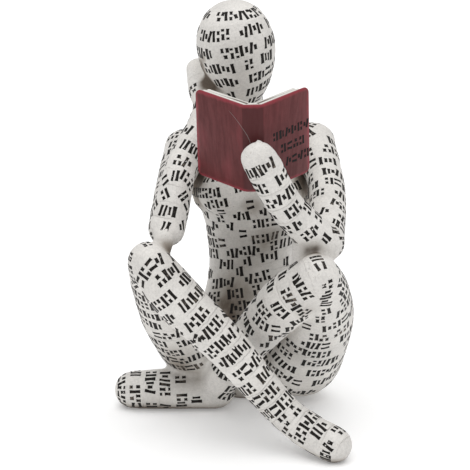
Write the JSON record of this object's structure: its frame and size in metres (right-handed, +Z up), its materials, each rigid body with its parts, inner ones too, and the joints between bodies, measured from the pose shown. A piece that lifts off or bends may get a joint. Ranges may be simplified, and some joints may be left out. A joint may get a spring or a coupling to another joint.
{
  "type": "reading woman figurine",
  "caption": "Faceless seated woman with raised knees and crossed shins reading a small open book, with cheek on hand; shelf ornament in off-white cast resin with rows of printed marks.",
  "frame": {"origin": "middle of the footprint's bounding box, on the surface it stands on", "axes": "+Z up; she faces -Y; her right arm is towards -X and her left arm towards +X"},
  "size_m": [0.084, 0.0898, 0.1449],
  "materials": {
    "cast_resin": "satin off-white cast resin with a brown wash in the creases",
    "dark_red_paint": "dark red paint, brushed, a little glossy on the edges",
    "page_paint": "matt off-white paint on the edges of the leaves",
    "print_ink": "dark brown-black printed marks, flat and matt"
  },
  "bodies": {
    "root": {"figure": "cast_resin", "book": "dark_red_paint"}
  },
  "joints": []
}
